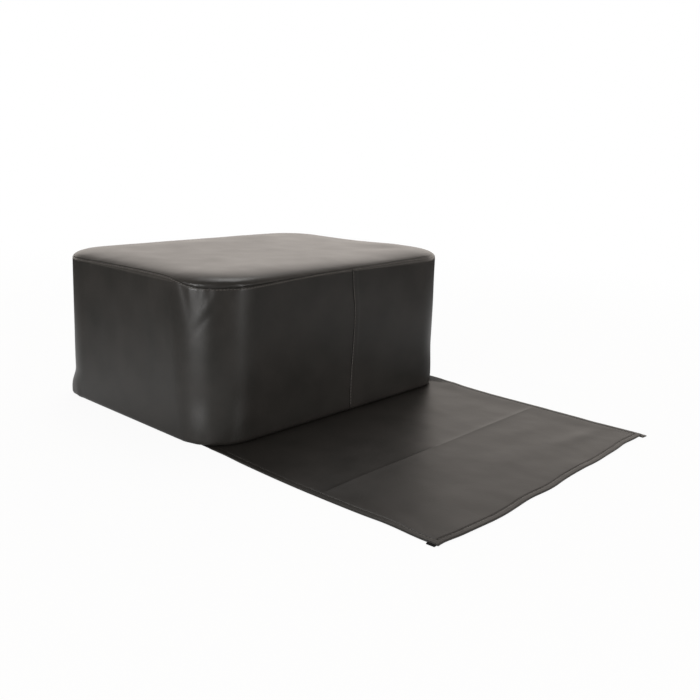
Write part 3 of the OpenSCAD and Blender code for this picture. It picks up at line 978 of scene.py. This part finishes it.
def hem_line():
    """Line of the flap's stitching: down the left hem, round the end and back up the right hem."""
    left, right, end = FLAP_LEFT + HEM_STITCH, FLAP_RIGHT - HEM_STITCH, FLAP_END_Y + HEM_STITCH
    turn_r, straight, above = 2.2, 4, 3
    corner = [(left + turn_r * (1 - math.sin(a)), end + turn_r * (1 - math.cos(a)))
              for a in np.linspace(math.pi / 2, 0, 6)]
    far_corner = [(left + right - x, y) for x, y in corner[::-1]]
    down = np.linspace(HINGE_Y - 5, corner[0][1] + straight, 40)
    across = np.linspace(corner[-1][0] + straight, far_corner[0][0] - straight, 60)
    line = [(left, y) for y in down] + corner + [(x, end) for x in across]
    line += far_corner + [(right, y) for y in down[::-1]]
    return [(*flap_place(x, y), above) for x, y in line]


def make_stitching():
    """All the stitches that show, one mesh for each seam. Returns the hems' stitches."""
    bands = (BAND_LEFT, BAND_RIGHT)
    at, along = walk(seam_line(STITCH_DROP), 0.7)
    laid = lay_on(bands, at, along, inward_of(at), TOP_LIFT)
    top = stitch_run(laid, "top_seam_stitches", "cushion", THREAD)
    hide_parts("top_seam_thread")
    for front, node, name in ((True, "front_seam_thread", "front_seam_stitches"),
                              (False, "back_seam_thread", "back_seam_stitches")):
        sign = -1 if front else 1
        z = np.linspace(SEAM_Z - 3, 8, 80)
        line = np.stack([seam_x(z, front) + STITCH_DROP, 0 * z + sign * BODY_D / 2, z], -1)
        at, along = walk(line)
        inward = np.tile([0, -1.0 * sign, 0], (len(at), 1))
        seam = stitch_run(lay_on(bands, at, along, inward, SEAM_LIFT), name, "cushion", THREAD)
        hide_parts(node)
    at, along = walk(hem_line())
    down = np.tile([0, 0, -1.0], (len(at), 1))
    laid = lay_on((FLAP, FLAP_STRIP), at, along, down, HEM_LIFT)
    hem = stitch_run(laid, "flap_hem_stitches", None, HEM_THREAD)
    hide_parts("flap_inner_thread", "flap_outer_thread")
    bend_at_crease(hem)
    return hem


FLAP_STITCHES = make_stitching()
bend_at_crease(FLAP)
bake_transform(FLAP_STRIP)


# The cloth under the box

def make_dust_cloth():
    """Non-woven cloth: a grid trimmed to the base's outline, slack between its staples."""
    cloth = added(bpy.ops.mesh.primitive_grid_add, x_subdivisions=90, y_subdivisions=60, size=2)
    unit = points(cloth) * MM
    half_w, back, r = BODY_W / 2 - DUST_INSET, BODY_D / 2 - DUST_INSET, BASE_CORNER_R - DUST_INSET
    staple_pitch, lowest, highest = 38, 0.02, 1.3
    x = unit[:, 0] * half_w
    # Each column of the grid ends on the rounded corners of the outline
    past = np.maximum(np.abs(x) - (half_w - r), 0)
    curve = np.sqrt(np.maximum(r * r - past * past, 0))
    y = DUST_START_Y + (unit[:, 1] + 1) / 2 * (back - (r - curve) - DUST_START_Y)
    # The front corners follow the base's outline too, where the front edge crosses it
    y = np.maximum(y, np.maximum(r - back - curve, DUST_START_Y))
    edge = np.minimum(np.minimum(half_w - np.abs(x), back - np.abs(y)), y - DUST_START_Y)
    co = np.stack([x, y, 0 * x], -1)
    ripple = np.sin(x * 2 * math.pi / staple_pitch) * np.sin(y * 2 * math.pi / staple_pitch)
    pulled = 0.12 * (1 - way(edge, 3, 12)) * (1 + ripple)
    sag = 0.42 + 0.42 * rough(co, 46, (1, 1, 1), 4.0) + 0.14 * rough(co, 15, (1, 1, 1), 9.0)
    z = np.clip(lowest + way(edge, 12, 34) * sag + pulled, lowest, highest)
    set_points(cloth, np.stack([x, y, z], -1))
    finish_modifier(cloth, "SOLIDIFY", thickness=0.4 * MM, offset=1.0)
    named(cloth, "dust_cloth", "cushion", "dust_cloth", CLOTH, sharp=60)
    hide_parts("dust_cover")


make_dust_cloth()

for node, material in (("base_board", PLY), ("cover_staples", WIRE), ("dust_cover_staples", WIRE),
                       ("flap_staples", WIRE)):
    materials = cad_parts[node].data.materials
    materials.clear()
    materials.append(material)


# Floor, light and camera

FLOOR_RADIUS, FLOOR_Z = 30.0, -0.0002
# The shadow's part of what is seen of the floor, from the box out to where the floor meets the wall
SHADOW_ENDS, SHADOW_WHITE = (0.4, 1.5), (0.94, 1.0)
# The floor in gloss, by the distance from a place beside the box: painted light that falls off away
# from the box and the lamps, and a painted contact shade where the box stands
GLOSSY_MIDDLE = (0.08, -0.12, 0)
GLOSSY_ENDS, GLOSSY_PAINTED_LIGHT = (0.3, 0.95), (0.85, 0.05)
PAINTED_SHADE_ENDS, PAINTED_SHADE_LEVELS = (0.24, 0.4), (0.25, 1.0)

WARM_WHITE = tone("#FFF6EE")
WALL_LEAN, WALLS_HEADING = (-0.2, 0.05, 1.0), (0.85, 0.53, 0)
WALL_TOP, CEILING_FROM, CEILING = 0.12, 0.4, 0.46
WALL_NEAR, WALL_FAR = 0.45, 1.58


def make_floor():
    """White paper floor. Seen straight it is white, and the object's shadow stays on it faintly. In
    gloss its glow is painted light, brightest beside the box and falling off away from it, with a
    painted contact shade where the box stands. From below it is clear, so the underside shows."""
    floor = added(bpy.ops.mesh.primitive_circle_add, vertices=96, radius=FLOOR_RADIUS, fill_type="NGON",
                  location=(0, 0, FLOOR_Z))
    bpy.ops.object.transform_apply(location=True)
    floor.name = "studio_floor"
    look = Finish("white_paper_floor", Roughness=0.9, Specular_IOR_Level=0.0)
    tree = look.tree
    look.colour(look.pattern("TexNoise", 5, Detail=2.0), (0.3, "#F4F4F4"), (0.7, "#F7F7F7"))
    sight = add(tree, "LightPath").node.outputs
    away = add(tree, "VectorMath", {0: look.place}, "Value", operation="LENGTH")
    plain = spread(tree, away, *SHADOW_WHITE, SHADOW_ENDS, interpolation_type="SMOOTHSTEP")
    straight = add(tree, "Math", {0: sight["Is Camera Ray"], 1: sight["Is Transmission Ray"]},
                   operation="MAXIMUM")
    straight = add(tree, "Math", {0: straight, 1: plain}, operation="MULTIPLY")
    glossy = sight["Is Glossy Ray"]
    share = add(tree, "Math", {0: straight, 1: glossy}, operation="MAXIMUM")
    # Painted light in gloss: the glow falls off away from a place beside the box, and a painted contact
    # shade darkens it round the box
    reach = add(tree, "VectorMath", {0: look.place, 1: GLOSSY_MIDDLE}, "Value", operation="DISTANCE")
    dull = spread(tree, reach, *GLOSSY_PAINTED_LIGHT, GLOSSY_ENDS)
    painted_contact_shade = spread(tree, reach, *PAINTED_SHADE_LEVELS, PAINTED_SHADE_ENDS)
    level = add(tree, "Math", {0: dull, 1: painted_contact_shade}, operation="MULTIPLY")
    glow = add(tree, "Emission", {"Strength": add(tree, "Mix", {0: glossy, 2: 1.0, 3: level})})
    paper = add(tree, "MixShader", {0: share, 1: look.shader, 2: glow})
    behind = add(tree, "NewGeometry", out="Backfacing")
    clear = add(tree, "BsdfTransparent")
    tree.links.new(add(tree, "MixShader", {0: behind, 1: paper, 2: clear}), look.surface)
    floor.data.materials.append(look.material)


def make_world():
    """White walls round the set, higher on the right, that fade to a dim ceiling."""
    world = bpy.data.worlds.new("white_studio")
    bpy.context.scene.world = world
    world.use_nodes = True
    tree = world.node_tree
    tree.nodes.clear()
    heading = add(tree, "TexCoord", out="Generated")
    height = add(tree, "VectorMath", {0: heading, 1: WALL_LEAN}, "Value", operation="DOT_PRODUCT")
    level = spread(tree, height, 1.0, CEILING, (WALL_TOP, CEILING_FROM), interpolation_type="SMOOTHSTEP")
    beyond = add(tree, "VectorMath", {0: heading, 1: WALLS_HEADING}, "Value", operation="DOT_PRODUCT")
    lit = spread(tree, beyond, WALL_NEAR, WALL_FAR, (-1.0, 1.0))
    wall = add(tree, "Math", {0: level, 1: lit}, operation="MULTIPLY")
    walls = add(tree, "Background", {"Strength": wall, "Color": WARM_WHITE})
    plain = add(tree, "Background", {"Strength": 1.0, "Color": (1, 1, 1, 1)})
    sight = add(tree, "LightPath", out="Is Camera Ray")
    seen = add(tree, "MixShader", {0: sight, 1: walls, 2: plain})
    tree.links.new(seen, tree.nodes.new("ShaderNodeOutputWorld").inputs["Surface"])


# Each lamp's name, place, aim and size in metres, and its power in watts
LAMPS = (("window", (-2.6, -0.38, 0.37), (0, -0.05, 0.1), (1.3, 0.74), 53),
         ("strip", (0.05, -2.6, 0.34), (0, 0, 0.1), (0.4, 0.68), 12),
         ("overhead", (0.5, 0.45, 1.8), (0, -0.1, 0), (0.7, 1.2), 9))


def softbox(name, place, aim, size, power):
    """A rectangular area lamp turned towards its aim."""
    data = bpy.data.lights.new(name, "AREA")
    data.shape = "RECTANGLE"
    data.size, data.size_y = size
    data.energy = power
    lamp = bpy.data.objects.new(name, data)
    lamp.location = place
    lamp.rotation_euler = (Vector(aim) - Vector(place)).to_track_quat("-Z", "Y").to_euler()
    bpy.context.collection.objects.link(lamp)


CAMERA_PLACE = (-0.66794, -0.74642, 0.30323)
CAMERA_AZIMUTH, CAMERA_ELEVATION, CAMERA_ROLL = -48.163, 14.246, 2.102
FOCAL_PIXELS, PICTURE_PIXELS, SENSOR = 823.311, 700, 36.0


def make_camera():
    """The camera, turned by its roll, then tipped up from looking down and turned to its azimuth."""
    turn = Matrix.Identity(4)
    for angle, axis in ((CAMERA_AZIMUTH, "Z"), (90 - CAMERA_ELEVATION, "X"), (CAMERA_ROLL, "Z")):
        turn = turn @ Matrix.Rotation(math.radians(angle), 4, axis)
    data = bpy.data.cameras.new("camera")
    data.sensor_width = SENSOR
    data.lens = SENSOR * FOCAL_PIXELS / PICTURE_PIXELS
    camera = bpy.data.objects.new("camera", data)
    camera.matrix_world = Matrix.Translation(CAMERA_PLACE) @ turn
    bpy.context.collection.objects.link(camera)
    bpy.context.scene.camera = camera


make_floor()
make_world()
for lamp in LAMPS:
    softbox(*lamp)
make_camera()

bpy.context.scene.view_settings.view_transform = "Standard"
